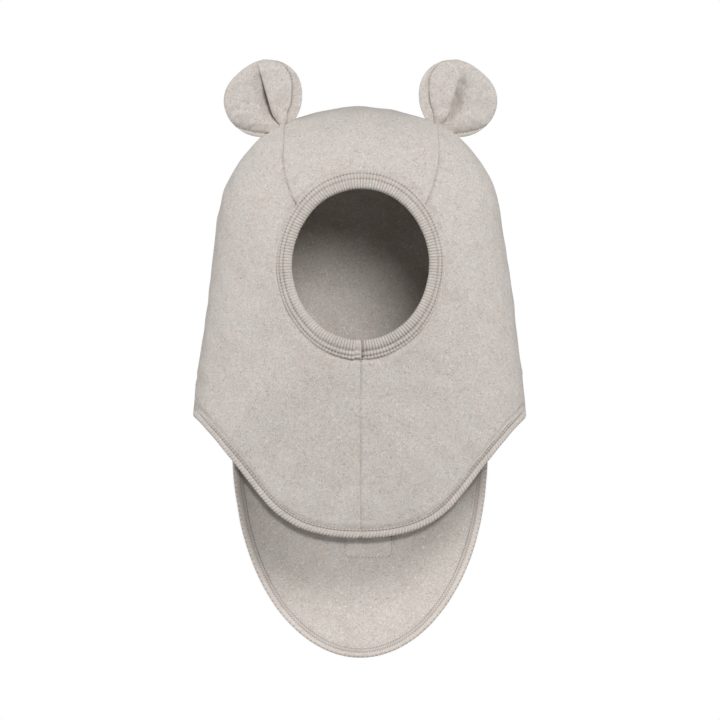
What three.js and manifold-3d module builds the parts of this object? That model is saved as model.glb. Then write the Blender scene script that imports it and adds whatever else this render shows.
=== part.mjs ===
// A child's fleece balaclava: a lined hood with a ribbed face opening, a front bib, a longer back flap
// and two round ears. Millimetres, +Z up, the face looks along -Y.
// The origin is the middle of the head, level with the middle of the face opening.
import * as THREE from "three";
import { ParametricGeometry } from "three/addons/geometries/ParametricGeometry.js";
import { mergeVertices } from "three/addons/utils/BufferGeometryUtils.js";
import Module from "manifold-3d";

const wasm = await Module();
wasm.setup();

// Hood: half-widths and depths at the origin's level, and how they change with height.
const CROWN_HEIGHT = 110.6;
const HALF_WIDTH = 103.8;
const FLARE = 0.122; // growth of the half-width for each millimetre down
const FRONT_DEPTH = 68;
const FRONT_TAPER = 0.09; // loss of depth for each millimetre down, below the origin
const BACK_DEPTH = 58;
const BACK_TAPER = 0.07;
const SECTION_POWER = 2.1; // 2 is an ellipse, more is squarer
const SIDE_DOME = [3.4, 2.25]; // powers of the crown's curve, seen from the front
const DEPTH_DOME = [2.6, 2]; // the same, seen from the side

// Cloth
const OUTER_THICKNESS = 1.8;
const LAYER_GAP = 0.3;
const LINING_THICKNESS = 1.4;
const SEAM_GAP = 0.4; // between two cut edges
const SEAT_GAP = 0.3;
const SHELL = OUTER_THICKNESS + LAYER_GAP + LINING_THICKNESS;

// Face opening: half-axes of the rib band's middle line, and the band's own section.
const FACE_HALF_WIDTH = 53;
const FACE_HALF_HEIGHT = 59.2;
const BAND_WIDTH = 13.6;
const BAND_THICKNESS = 5;
const STITCH_ROWS = [-1, 4]; // distance of each row from the band's middle line, outward
const THREAD_RADIUS = 0.4;
const THREAD_ROOM = 0.5; // each side of the thread that lies in an outer seam
const SEAM_SLOT = 2 * (THREAD_RADIUS + THREAD_ROOM);

// Lower edge: height of the shoulder arch, the bib's curve, and the flap's half ellipse.
const BEND_HEIGHT = -94; // level at which bib and flap bend away from the hood
const ARCH_HEIGHT = -103;
const BIB_LENGTH = 189.7;
const BIB_PULLS = [67.3, -158.2, 67.9]; // the curve's two inner points: x, z and x
const FLAP_HALF_WIDTH = 90.3;
const FLAP_SHOULDER = -133.7;
const FLAP_LENGTH = 276.2;
const HEM_WIDTH = 5.6;
const HEM_THICKNESS = 4.4;

// Crown panel: half-width of the strip at chosen heights, front then back.
const STRIP_FRONT = [[40, 30], [46.9, 45.5], [52.1, 60.2], [54.2, 74.2], [53.2, 95.2], [53.2, 130]];
const STRIP_BACK = [[53.2, 130], [53.2, 95.2], [54, 70], [52, 30], [53, -15], [62, -50], [88, -70], [130, -82]];
const STRIP_RIDGE = 53.2;

// Ears: round pads that stand on the crown.
const EAR_RADIUS = 27;
const EAR_AXIS_X = 57; // where the ears are sewn on, on the crown's ridge
const EAR_OUT = 11.6; // from there to the ear's middle
const EAR_UP = 19.4;
const EAR_DEPTH = -8; // the ears' middle plane, a little in front of the crown's ridge
const EAR_THICKNESS = 11;
const EAR_EDGE = 3.5; // rounding of the pad's rim
const EAR_SEAM = [24, 26]; // inner and outer radius of the seam between the panels
const EAR_SEAM_THICKNESS = 0.5;
const EAR_SINK = 0.8; // depth of the hinge line below the ridge, where the crown curves forward
const EAR_TILT = 29; // degrees that the ear's base slopes down, outward
const EAR_SWING = 35; // degrees each way

// Label on the flap's inner face
const LABEL = { left: -11, right: 23.7, top: -162, bottom: -202.6, thickness: 0.6, corner: 5, inset: 2 };

// Mesh fineness
const AROUND = 34;
const LEVELS = 16;
const PATH_STEPS = 30;
const THREAD_SIDES = 5;
const REACH = 220; // half-size of the cutting blocks

const FRONT = -1;
const BACK = 1;
const fleece = new THREE.MeshStandardMaterial({ color: 0xcbc4be, roughness: 0.95, metalness: 0 });
const liningCloth = new THREE.MeshStandardMaterial({ color: 0xc4bcb5, roughness: 0.95, metalness: 0 });
const rib = new THREE.MeshStandardMaterial({ color: 0xbfb7b0, roughness: 0.9, metalness: 0 });
const thread = new THREE.MeshStandardMaterial({ color: 0xb0a79f, roughness: 0.8, metalness: 0 });

const balaclava = new THREE.Group();

// ---- solids and cutters

function toSolid(geometry) {
  const plain = geometry.clone();
  plain.deleteAttribute("normal");
  plain.deleteAttribute("uv");
  const merged = mergeVertices(plain, 1e-4);
  const points = merged.attributes.position.array;
  const corners = merged.index.array;
  const kept = [];
  let volume = 0;
  const [a, b, c] = [new THREE.Vector3(), new THREE.Vector3(), new THREE.Vector3()];
  for (let i = 0; i < corners.length; i += 3) {
    const [p, q, r] = [corners[i], corners[i + 1], corners[i + 2]];
    if (p === q || q === r || r === p) continue;
    kept.push(p, q, r);
    a.fromArray(points, 3 * p);
    b.fromArray(points, 3 * q);
    c.fromArray(points, 3 * r);
    volume += a.dot(b.cross(c));
  }
  if (volume < 0) kept.reverse();
  return new wasm.Manifold(new wasm.Mesh({
    numProp: 3,
    vertProperties: Float32Array.from(points),
    triVerts: Uint32Array.from(kept),
  }));
}

// A cut can leave crumbs thinner than a hair beside the piece, so the largest body is kept.
function addPiece(name, solid, material) {
  const bodies = solid.decompose().sort((a, b) => b.volume() - a.volume());
  const mesh = bodies[0].getMesh();
  const geometry = new THREE.BufferGeometry();
  geometry.setAttribute("position", new THREE.BufferAttribute(mesh.vertProperties, 3));
  geometry.setIndex(new THREE.BufferAttribute(mesh.triVerts, 1));
  geometry.computeVertexNormals();
  const piece = new THREE.Mesh(geometry, material);
  piece.name = name;
  balaclava.add(piece);
}

// A block between two corners.
function block(low, high) {
  const size = high.map((value, i) => value - low[i]);
  const box = new THREE.BoxGeometry(...size);
  box.translate(...low.map((value, i) => value + size[i] / 2));
  return toSolid(box);
}

// An outline in x and z, carried along Y from near to far.
function prism(shape, near, far) {
  const geometry = new THREE.ExtrudeGeometry(shape, { depth: far - near, bevelEnabled: false, curveSegments: 10 });
  geometry.rotateX(Math.PI / 2);
  geometry.translate(0, far, 0);
  return toSolid(geometry);
}

// ---- the hood's surface

function dome(height, [rise, fall]) {
  return height > 0 ? Math.pow(Math.max(0, 1 - Math.pow(height, rise)), 1 / fall) : 1;
}

function halfWidth(z, offset = 0) {
  return (HALF_WIDTH + offset - FLARE * z) * dome(z / (CROWN_HEIGHT + offset), SIDE_DOME);
}

function depth(z, side, offset = 0) {
  const full = side === FRONT ? FRONT_DEPTH : BACK_DEPTH;
  const taper = side === FRONT ? FRONT_TAPER : BACK_TAPER;
  return (full + offset + taper * Math.min(z, 0)) * dome(z / (CROWN_HEIGHT + offset), DEPTH_DOME);
}

// Point at an angle round the hood's section at one height; angle 0 is +X, and +Y is the back.
function sectionPoint(angle, z, offset) {
  const [c, s] = [Math.cos(angle), Math.sin(angle)];
  const side = s < 0 ? FRONT : BACK;
  const x = Math.sign(c) * halfWidth(z, offset) * Math.pow(Math.abs(c), 2 / SECTION_POWER);
  const y = side * depth(z, side, offset) * Math.pow(Math.abs(s), 2 / SECTION_POWER);
  return new THREE.Vector3(x, y, z);
}

// Point on the front or the back at a given x and z.
function facePoint(x, z, side, offset) {
  const share = Math.min(1, Math.abs(x) / halfWidth(z, offset));
  const inward = Math.pow(1 - Math.pow(share, SECTION_POWER), 1 / SECTION_POWER);
  return new THREE.Vector3(x, side * depth(z, side, offset) * inward, z);
}

// Outward direction of the surface, from the slope of the section's own equation.
function normalAt(point) {
  const step = 0.05;
  const level = (x, y, z) => {
    const side = y < 0 ? FRONT : BACK;
    const across = Math.pow(Math.abs(x) / halfWidth(z), SECTION_POWER);
    return across + Math.pow(Math.abs(y) / depth(z, side), SECTION_POWER);
  };
  const slope = [0, 1, 2].map((axis) => {
    const [low, high] = [point.toArray(), point.toArray()];
    low[axis] -= step;
    high[axis] += step;
    return level(...high) - level(...low);
  });
  return new THREE.Vector3(...slope).normalize();
}

// Side outline from the lowest level to the crown, used only to space the levels evenly.
class SideOutline extends THREE.Curve {
  constructor(floor, offset) {
    super();
    this.floor = floor;
    this.offset = offset;
  }

  getPoint(t, target = new THREE.Vector2()) {
    const top = CROWN_HEIGHT + this.offset;
    const z = t < 0.5
      ? this.floor * (1 - 2 * t)
      : top * Math.pow(Math.sin((t - 0.5) * Math.PI), 2 / SIDE_DOME[0]);
    return target.set(halfWidth(z, this.offset), z);
  }
}

// Everything inside the surface moved out by an offset, closed flat at the floor.
function hoodSolid(offset, floor) {
  const heights = new SideOutline(floor, offset).getSpacedPoints(LEVELS).map((point) => point.y);
  const geometry = new ParametricGeometry((u, v, target) => {
    const row = Math.round(v * (LEVELS + 1)) - 1;
    if (row < 0) target.set(0, 0, floor);
    else target.copy(sectionPoint(u * 2 * Math.PI, heights[row], offset));
  }, AROUND, LEVELS + 1);
  return toSolid(geometry);
}

function layer(outside, thickness) {
  const floor = -FLAP_LENGTH - HEM_WIDTH;
  return hoodSolid(outside, floor).subtract(hoodSolid(outside - thickness, floor - HEM_WIDTH));
}

// ---- strips and threads

// A rounded bar carried along stations on the surface; each station has a middle point, the surface's
// outward direction and the direction across the bar. The ends close to a point.
function bar(stations, width, thickness, closed, sides = 8) {
  const count = stations.length;
  const rows = closed ? count : count + 1;
  const geometry = new ParametricGeometry((u, v, target) => {
    const row = Math.round(v * rows);
    const station = stations[closed ? row % count : THREE.MathUtils.clamp(row - 1, 0, count - 1)];
    const size = closed || (row > 0 && row < rows) ? 1 : 0;
    const angle = (u * 2 + 1 / sides) * Math.PI;
    const squareness = Math.pow(Math.abs(Math.cos(angle)) ** 4 + Math.abs(Math.sin(angle)) ** 4, -0.25);
    target.copy(station.middle);
    target.addScaledVector(station.across, 0.5 * width * size * squareness * Math.cos(angle));
    target.addScaledVector(station.normal, 0.5 * thickness * size * squareness * Math.sin(angle));
  }, sides, rows);
  return toSolid(geometry);
}

// Stations along a line on the surface, shifted across it and sunk. The guide says which way across
// points at the first one, and the others follow their neighbour.
function stationsAlong(points, shift, sink, guide, closed) {
  const count = points.length;
  let last = guide;
  return points.map((point, i) => {
    const before = points[closed ? (i + count - 1) % count : Math.max(0, i - 1)];
    const after = points[closed ? (i + 1) % count : Math.min(count - 1, i + 1)];
    const normal = normalAt(point);
    const across = after.clone().sub(before).cross(normal).normalize();
    if (across.dot(last) < 0) across.negate();
    last = across;
    const middle = point.clone().addScaledVector(across, shift).addScaledVector(normal, -sink);
    return { middle, normal, across };
  });
}

function tube(points) {
  const stations = stationsAlong(points, 0, 0, new THREE.Vector3(1, 0, 0), false);
  return bar(stations, 2 * THREAD_RADIUS, 2 * THREAD_RADIUS, false, THREAD_SIDES);
}

// ---- the rib band round the face

function faceLine() {
  const points = [];
  for (let i = 0; i < PATH_STEPS; i += 1) {
    const angle = (i / PATH_STEPS) * 2 * Math.PI;
    points.push(facePoint(FACE_HALF_WIDTH * Math.cos(angle), FACE_HALF_HEIGHT * Math.sin(angle), FRONT, 0));
  }
  return points;
}

function faceStations(shift, sink) {
  return stationsAlong(faceLine(), shift, sink, new THREE.Vector3(1, 0, 0), true);
}

function faceBand(margin) {
  return bar(faceStations(0, SHELL / 2), BAND_WIDTH + 2 * margin, BAND_THICKNESS + 2 * margin, true);
}

function faceStitch(shift) {
  const lift = (BAND_THICKNESS - SHELL) / 2 + THREAD_RADIUS + SEAT_GAP;
  return bar(faceStations(shift, -lift), 2 * THREAD_RADIUS, 2 * THREAD_RADIUS, true, THREAD_SIDES);
}

function facePrism() {
  const shape = new THREE.Shape();
  shape.absellipse(0, 0, FACE_HALF_WIDTH, FACE_HALF_HEIGHT, 0, 2 * Math.PI);
  return prism(shape, -REACH, 0);
}

// ---- lower edges

// The bib's edge in x and z, from the right corner to the bottom middle.
function bibCurve() {
  const corner = new THREE.Vector2(halfWidth(ARCH_HEIGHT), ARCH_HEIGHT);
  const [pullX, pullZ, bottomX] = BIB_PULLS;
  return new THREE.CubicBezierCurve(
    corner,
    new THREE.Vector2(pullX, pullZ),
    new THREE.Vector2(bottomX, -BIB_LENGTH),
    new THREE.Vector2(0, -BIB_LENGTH),
  );
}

// The flap's edge: from the corner straight to the shoulder, then a quarter of an ellipse.
function flapCurve() {
  const corner = new THREE.Vector2(halfWidth(ARCH_HEIGHT), ARCH_HEIGHT);
  const shoulder = new THREE.Vector2(FLAP_HALF_WIDTH, FLAP_SHOULDER);
  const path = new THREE.CurvePath();
  path.add(new THREE.QuadraticBezierCurve(corner, new THREE.Vector2(FLAP_HALF_WIDTH, FLAP_SHOULDER + 8), shoulder));
  path.add(new THREE.EllipseCurve(0, FLAP_SHOULDER, FLAP_HALF_WIDTH, FLAP_LENGTH + FLAP_SHOULDER, 0, -Math.PI / 2, true));
  return path;
}

// The whole edge on the surface, from the right corner round to the left one. Near the corners the
// edge lies side-on, so the points are spaced by the surface's own angle there.
function hemLine(curve, side) {
  const half = [];
  const steps = PATH_STEPS / 2;
  for (let i = 0; i <= steps; i += 1) {
    const flat = curve.getPointAt((i / steps) ** 1.25);
    half.push(facePoint(flat.x, flat.y, side, 0));
  }
  half[0].y = side * SEAM_GAP / 2;
  const mirrored = half.slice(0, -1).reverse().map((point) => new THREE.Vector3(-point.x, point.y, point.z));
  return half.concat(mirrored);
}

function hemStations(curve, side) {
  return stationsAlong(hemLine(curve, side), HEM_WIDTH / 2, SHELL / 2, new THREE.Vector3(0, 0, 1), false);
}

function hemBar(stations, margin) {
  return bar(stations, HEM_WIDTH + 2 * margin, HEM_THICKNESS + 2 * margin, false);
}

// All that lies above the middle line of a hem, on its own side of the garment.
function aboveHem(stations, side) {
  const shape = new THREE.Shape();
  const first = stations[0].middle;
  shape.moveTo(REACH, REACH);
  shape.lineTo(REACH, first.z);
  stations.forEach((station) => shape.lineTo(station.middle.x, station.middle.z));
  shape.lineTo(-REACH, first.z);
  shape.lineTo(-REACH, REACH);
  return side === FRONT ? prism(shape, -REACH, -SEAM_GAP / 2) : prism(shape, SEAM_GAP / 2, REACH);
}

// ---- crown panel

function stripShape(profile, inset, floor) {
  const curve = new THREE.SplineCurve(profile.map((pair) => new THREE.Vector2(...pair)));
  const count = 3 * profile.length;
  const points = [];
  for (let i = 0; i <= count; i += 1) {
    const along = curve.getTangent(i / count);
    const inward = Math.sign(along.y) * inset;
    points.push(curve.getPoint(i / count).add(new THREE.Vector2(-along.y * inward, along.x * inward)));
  }
  points.sort((a, b) => b.y - a.y);
  const last = points[points.length - 1];
  const shape = new THREE.Shape();
  shape.moveTo(-points[0].x, points[0].y);
  points.forEach((point) => shape.lineTo(point.x, point.y));
  if (floor < last.y) {
    shape.lineTo(last.x, floor);
    shape.lineTo(-last.x, floor);
  }
  points.reverse().forEach((point) => shape.lineTo(-point.x, point.y));
  return shape;
}

function crownRegion(inset) {
  const ahead = prism(stripShape(STRIP_FRONT, inset, REACH), -REACH, -inset);
  const behind = prism(stripShape(STRIP_BACK, inset, -REACH), inset, REACH);
  const bridge = prism(stripShape(STRIP_FRONT.slice(-2), inset, REACH), -REACH / 2, REACH / 2);
  return ahead.add(behind).add(bridge);
}

function stripLine(mirror) {
  const sink = -OUTER_THICKNESS / 2;
  const ahead = new THREE.SplineCurve(STRIP_FRONT.map((pair) => new THREE.Vector2(...pair)));
  const behind = new THREE.SplineCurve(STRIP_BACK.map((pair) => new THREE.Vector2(...pair)));
  const ridge = ridgeHeight(STRIP_RIDGE, sink);
  const onto = (curve, side) => curve.getPoints(60)
    .filter((flat) => flat.y < ridge - 1 && flat.x < halfWidth(flat.y, sink) - 1)
    .map((flat) => facePoint(flat.x, flat.y, side, sink));
  const clear = (point) => outsideFace(point, BAND_WIDTH / 2 + 1);
  const front = onto(ahead, FRONT).filter(clear).sort((a, b) => a.z - b.z);
  const back = onto(behind, BACK).sort((a, b) => b.z - a.z);
  const path = new THREE.CatmullRomCurve3([...front, new THREE.Vector3(STRIP_RIDGE, 0, ridge), ...back]);
  return path.getSpacedPoints(PATH_STEPS).map((point) => new THREE.Vector3(mirror * point.x, point.y, point.z));
}

// Height at which the crown's ridge has a given half-width, found by halving.
function ridgeHeight(x, offset) {
  let [low, high] = [0, CROWN_HEIGHT + offset];
  for (let i = 0; i < 40; i += 1) {
    const middle = (low + high) / 2;
    if (halfWidth(middle, offset) > x) low = middle;
    else high = middle;
  }
  return low;
}

function outsideFace(point, margin) {
  return Math.hypot(point.x / (FACE_HALF_WIDTH + margin), point.z / (FACE_HALF_HEIGHT + margin)) > 1;
}

// ---- centre front seam

function centreLine(top, bottom) {
  const points = [];
  const count = 8;
  for (let i = 0; i <= count; i += 1) {
    points.push(facePoint(0, THREE.MathUtils.lerp(top, bottom, i / count), FRONT, -OUTER_THICKNESS / 2));
  }
  return points;
}

// ---- the pieces

const bibEdge = hemStations(bibCurve(), FRONT);
const flapEdge = hemStations(flapCurve(), BACK);
const aboveBend = block([-REACH, -REACH, BEND_HEIGHT + SEAM_GAP / 2], [REACH, REACH, REACH]);
const belowBend = block([-REACH, -REACH, -2 * REACH], [REACH, REACH, BEND_HEIGHT - SEAM_GAP / 2]);
const bandSeat = faceBand(SEAT_GAP).add(facePrism());
const bibInside = aboveHem(bibEdge, FRONT).subtract(hemBar(bibEdge, SEAT_GAP));
const flapInside = aboveHem(flapEdge, BACK).subtract(hemBar(flapEdge, SEAT_GAP));

const chinTop = -FACE_HALF_HEIGHT - BAND_WIDTH / 2 - 1;
const bibBottom = -BIB_LENGTH + HEM_WIDTH + 1;
const threadLines = {
  crown_seam_right: stripLine(1),
  crown_seam_left: stripLine(-1),
  chin_seam: centreLine(chinTop, BEND_HEIGHT + 0.5),
  bib_seam: centreLine(BEND_HEIGHT - 0.5, bibBottom),
};

// The two layers of cloth: how far each lies below the outer face, and how wide its seams are.
const cloths = [
  { word: "outer", sink: 0, thickness: OUTER_THICKNESS, seam: SEAM_SLOT, material: fleece },
  { word: "lining", sink: OUTER_THICKNESS + LAYER_GAP, thickness: LINING_THICKNESS, seam: SEAM_GAP, material: liningCloth },
];

function halves(seam) {
  const right = block([seam / 2, -REACH, -2 * REACH], [REACH, REACH, REACH]);
  const left = block([-REACH, -REACH, -2 * REACH], [-seam / 2, REACH, REACH]);
  return { right, left };
}

function addHoodCloth({ word, sink, thickness, seam, material }) {
  const cloth = layer(-sink, thickness).intersect(aboveBend).subtract(bandSeat);
  const sides = cloth.subtract(crownRegion(-seam / 2));
  addPiece(`${word}_crown`, cloth.intersect(crownRegion(seam / 2)), material);
  Object.entries(halves(seam)).forEach(([hand, half]) => {
    addPiece(`${word}_side_${hand}`, sides.intersect(half), material);
  });
}

function addBibCloth({ word, sink, thickness, seam, material }) {
  const cloth = layer(-sink, thickness).intersect(belowBend).intersect(bibInside);
  Object.entries(halves(seam)).forEach(([hand, half]) => {
    addPiece(`bib_${word}_${hand}`, cloth.intersect(half), material);
  });
}

function addFlapCloth({ word, sink, thickness, material }) {
  addPiece(`flap_${word}`, layer(-sink, thickness).intersect(belowBend).intersect(flapInside), material);
}

function addFaceBand() {
  addPiece("face_band", faceBand(0), rib);
  addPiece("face_stitch_inner", faceStitch(STITCH_ROWS[0]), thread);
  addPiece("face_stitch_outer", faceStitch(STITCH_ROWS[1]), thread);
}

function labelShape(inset) {
  const { left, right, top, bottom, corner } = LABEL;
  const [w, e, n, s] = [left + inset, right - inset, top - inset, bottom + inset];
  const round = corner - inset;
  const shape = new THREE.Shape();
  shape.moveTo(w, n);
  shape.lineTo(w, s + round);
  shape.absarc(w + round, s + round, round, Math.PI, 1.5 * Math.PI, false);
  shape.absarc(e - round, s + round, round, 1.5 * Math.PI, 2 * Math.PI, false);
  shape.lineTo(e, n);
  return shape;
}

function addLabel() {
  const label = layer(-SHELL - LAYER_GAP, LABEL.thickness).intersect(prism(labelShape(0), 0, REACH));
  const frame = prism(labelShape(LABEL.inset), 0, REACH).subtract(prism(labelShape(LABEL.inset + 1), 0, REACH));
  const stitch = layer(-SHELL - 2 * LAYER_GAP - LABEL.thickness, LABEL.thickness).intersect(frame);
  addPiece("back_label", label, fleece);
  addPiece("label_stitch", stitch, thread);
}

// ---- ears

// A round pad between two planes, its rim rounded on the side that shows.
function earPad(side, gap) {
  const shape = new THREE.Shape();
  shape.absarc(0, 0, EAR_RADIUS - EAR_EDGE, 0, 2 * Math.PI);
  const flat = EAR_THICKNESS / 2 - gap - EAR_EDGE;
  const geometry = new THREE.ExtrudeGeometry(shape, {
    depth: 2 * (flat + gap), bevelThickness: EAR_EDGE, bevelSize: EAR_EDGE, bevelSegments: 3, curveSegments: 14,
  });
  geometry.translate(0, 0, -flat - gap);
  geometry.rotateX(Math.PI / 2);
  const half = side === FRONT
    ? block([-REACH, -REACH, -REACH], [REACH, -gap, REACH])
    : block([-REACH, gap, -REACH], [REACH, REACH, REACH]);
  return toSolid(geometry).intersect(half);
}

function earSeam() {
  const [inner, outer] = EAR_SEAM;
  const ring = new THREE.Shape();
  ring.absarc(0, 0, outer, 0, 2 * Math.PI);
  const hole = new THREE.Path();
  hole.absarc(0, 0, inner, 0, 2 * Math.PI, true);
  ring.holes.push(hole);
  return prism(ring, -EAR_SEAM_THICKNESS / 2, EAR_SEAM_THICKNESS / 2);
}

// The ear's base is cut by the hood as it looks from every angle of the ear's swing, so that the ear
// can flop about the line where it is sewn on.
function addEar(sign, word) {
  const ridge = ridgeHeight(EAR_AXIS_X, 0);
  const base = new THREE.Vector3(sign * EAR_AXIS_X, EAR_DEPTH, ridge - EAR_SINK);
  const axis = [sign * Math.cos(EAR_TILT * Math.PI / 180), 0, -Math.sin(EAR_TILT * Math.PI / 180)];
  const hood = hoodSolid(SEAT_GAP + 0.2, BEND_HEIGHT);
  const turned = (degrees) => {
    const turn = new THREE.Matrix4().makeRotationAxis(new THREE.Vector3(...axis), degrees * Math.PI / 180);
    const there = new THREE.Matrix4().makeTranslation(base.x, base.y, base.z);
    const back = new THREE.Matrix4().makeTranslation(-base.x, -base.y, -base.z);
    return hood.transform(there.multiply(turn).multiply(back).elements);
  };
  const angles = [-1, -0.66, -0.33, 0, 0.33, 0.66, 1].map((share) => share * (EAR_SWING + 1));
  const swept = angles.map(turned).reduce((all, one) => all.add(one));
  const gap = EAR_SEAM_THICKNESS / 2 + SEAT_GAP;
  const middle = [sign * (EAR_AXIS_X + EAR_OUT), EAR_DEPTH, ridge + EAR_UP];
  const place = (solid) => solid.translate(middle).subtract(swept);
  addPiece(`ear_${word}_front`, place(earPad(FRONT, gap)), fleece);
  addPiece(`ear_${word}_back`, place(earPad(BACK, gap)), fleece);
  addPiece(`ear_${word}_seam`, place(earSeam()), thread);
}

cloths.forEach(addHoodCloth);
cloths.forEach(addBibCloth);
cloths.forEach(addFlapCloth);
Object.entries(threadLines).forEach(([name, line]) => addPiece(name, tube(line), thread));
addPiece("front_hem", hemBar(bibEdge, 0), thread);
addPiece("back_hem", hemBar(flapEdge, 0), thread);
addFaceBand();
addLabel();
addEar(1, "right");
addEar(-1, "left");

export default balaclava;
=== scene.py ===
# A child's fleece balaclava: lined hood, ribbed face band, front bib, longer back flap, two round ears.
# Lengths in the dictionaries are millimetres, and makePiece turns them to metres.
from math import pi, radians
import bpy
import numpy as np
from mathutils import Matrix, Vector


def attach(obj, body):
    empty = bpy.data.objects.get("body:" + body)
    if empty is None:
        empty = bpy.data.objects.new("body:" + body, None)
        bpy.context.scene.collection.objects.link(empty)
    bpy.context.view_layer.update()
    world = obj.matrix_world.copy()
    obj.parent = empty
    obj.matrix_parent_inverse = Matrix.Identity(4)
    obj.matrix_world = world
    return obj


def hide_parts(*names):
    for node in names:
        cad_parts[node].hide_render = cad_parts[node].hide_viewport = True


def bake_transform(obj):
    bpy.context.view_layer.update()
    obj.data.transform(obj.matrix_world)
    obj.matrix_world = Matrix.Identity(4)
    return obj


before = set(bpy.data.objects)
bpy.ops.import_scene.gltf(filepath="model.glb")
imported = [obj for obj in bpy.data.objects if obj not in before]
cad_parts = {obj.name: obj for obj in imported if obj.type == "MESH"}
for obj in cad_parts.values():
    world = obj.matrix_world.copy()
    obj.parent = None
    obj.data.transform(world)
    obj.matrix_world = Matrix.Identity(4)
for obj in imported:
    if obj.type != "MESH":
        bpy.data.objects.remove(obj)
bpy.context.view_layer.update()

front, back = -1, 1
hands = ((1, "right"), (-1, "left"))
print("frame loaded")

# the hood's surface, which every cloth piece lies on

hood = {
    "crownHeight": 110.6,
    "halfWidth": 103.8,
    "flare": 0.122,  # growth of the half-width for each millimetre down
    "frontDepth": 68.0,
    "frontTaper": 0.09,
    "backDepth": 58.0,
    "backTaper": 0.07,
    "sectionPower": 2.1,
    "sideDome": (3.4, 2.25),
    "depthDome": (2.6, 2.0),
    "archHeight": -105.2,
}
cloth = {
    "outerThickness": 1.8,
    "layerGap": 0.3,
    "liningThickness": 1.4,
    "waveHeight": 0.9,  # slow unevenness that soft cloth has when it hangs
    "waveLength": 75.0,
    "dimpleHeight": 0.22,
    "dimpleLength": 17.0,
    "outerStep": 1.35,
    "liningStep": 2.0,
}
shellThickness = cloth["outerThickness"] + cloth["layerGap"] + cloth["liningThickness"]


def domeShare(height, powers):
    # (1 - height^rise)^(1/fall) above the origin's level, and 1 below it
    rise, fall = powers
    return np.where(height > 0, (1 - np.clip(height, 0, 1) ** rise) ** (1 / fall), 1.0)


def hoodSizes(z, out=0.0):
    # half-width, front depth and back depth of the section at a height, moved out by a distance
    height = z / (hood["crownHeight"] + out)
    low = np.minimum(z, 0)
    wide = (hood["halfWidth"] + out - hood["flare"] * z) * domeShare(height, hood["sideDome"])
    deep = domeShare(height, hood["depthDome"])
    ahead = (hood["frontDepth"] + out + hood["frontTaper"] * low) * deep
    behind = (hood["backDepth"] + out + hood["backTaper"] * low) * deep
    return wide, ahead, behind


def signedPower(value, power):
    # |value|^power with the value's own sign
    return np.sign(value) * np.abs(value) ** power


def hoodPoint(angle, z, out=0.0):
    # section x = w cos^(2/n), y = d sin^(2/n) with their signs; the crown rises as it moves out
    z = z * np.where(z > 0, 1 + out / hood["crownHeight"], 1.0)
    wide, ahead, behind = hoodSizes(z, out)
    c, s = np.cos(angle), np.sin(angle)
    power = 2 / hood["sectionPower"]
    x = wide * signedPower(c, power)
    y = np.where(s < 0, ahead, behind) * signedPower(s, power)
    return np.stack(np.broadcast_arrays(x, y, z), -1)


def clothPoint(x, z, side, out=0.0):
    # the same surface at a given x and z: y = d (1 - (|x|/w)^n)^(1/n)
    wide, ahead, behind = hoodSizes(z, out)
    n = hood["sectionPower"]
    share = np.clip(np.abs(x) / np.maximum(wide, 1e-6), 0, 1)
    y = side * (ahead if side == front else behind) * (1 - share**n) ** (1 / n)
    return np.stack(np.broadcast_arrays(x, y, z), -1)


def sectionLevel(points):
    # |x/w|^n + |y/d|^n, which is 1 on the surface, less inside it
    wide, ahead, behind = hoodSizes(points[..., 2])
    deep = np.where(points[..., 1] < 0, ahead, behind)
    n = hood["sectionPower"]
    across = (np.abs(points[..., 0]) / np.maximum(wide, 1e-3)) ** n
    return across + (np.abs(points[..., 1]) / np.maximum(deep, 1e-3)) ** n


def unit(vectors):
    # each vector divided by its own length
    return vectors / np.maximum(np.linalg.norm(vectors, axis=-1, keepdims=True), 1e-12)


def surfaceNormal(points):
    # outward direction: the slope of sectionLevel, from small steps along each axis
    steps = 0.05 * np.eye(3)
    return unit(np.stack([sectionLevel(points + e) - sectionLevel(points - e) for e in steps], -1))


def waves(points, length, seed, count=8):
    # sum of sine waves in seeded directions, mostly between -1 and 1
    rng = np.random.default_rng(seed)
    directions = unit(rng.normal(size=(count, 3))) / (length * rng.uniform(0.7, 1.5, (count, 1)))
    phases = rng.uniform(0, 2 * pi, count)
    return np.sin(2 * pi * points @ directions.T + phases).sum(-1) / (0.9 * count**0.5)


def hang(points):
    # how far the hanging cloth stands off the even surface; the same for every layer
    slow = cloth["waveHeight"] * waves(points, cloth["waveLength"], 5)
    return slow + cloth["dimpleHeight"] * waves(points, cloth["dimpleLength"], 11)


def bell(distance, width):
    # exp(-(distance/width)^2)
    return np.exp(-((distance / width) ** 2))


def ease(value, low, high):
    # smooth step from 0 at low to 1 at high
    t = np.clip((value - low) / (high - low), 0, 1)
    return t * t * (3 - 2 * t)


# meshes from whole arrays


def addObject(name, data):
    # an object in the scene, at the origin
    made = bpy.data.objects.new(name, data)
    bpy.context.scene.collection.objects.link(made)
    return made


def makePiece(name, points, faces, material, shade=None):
    # a smooth mesh object at the origin, millimetres turned to metres, with a shade for each point
    mesh = bpy.data.meshes.new(name)
    mesh.from_pydata((np.asarray(points) * 0.001).tolist(), [], np.asarray(faces).tolist())
    mesh.polygons.foreach_set("use_smooth", np.ones(len(mesh.polygons), bool))
    if shade is not None:
        data = mesh.attributes.new("shade", "FLOAT", "POINT").data
        data.foreach_set("value", np.asarray(shade, np.float32))
    mesh.update()
    piece = addObject(name, mesh)
    mesh.materials.append(material)
    return piece


def ringFaces(rings, count):
    # quads between one ring of points and the next, each ring joined end to start
    index = np.arange(rings * count).reshape(rings, count)
    a, b = index[:-1], index[1:]
    return np.stack([a, b, np.roll(b, -1, 1), np.roll(a, -1, 1)], -1).reshape(-1, 4)


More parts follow.
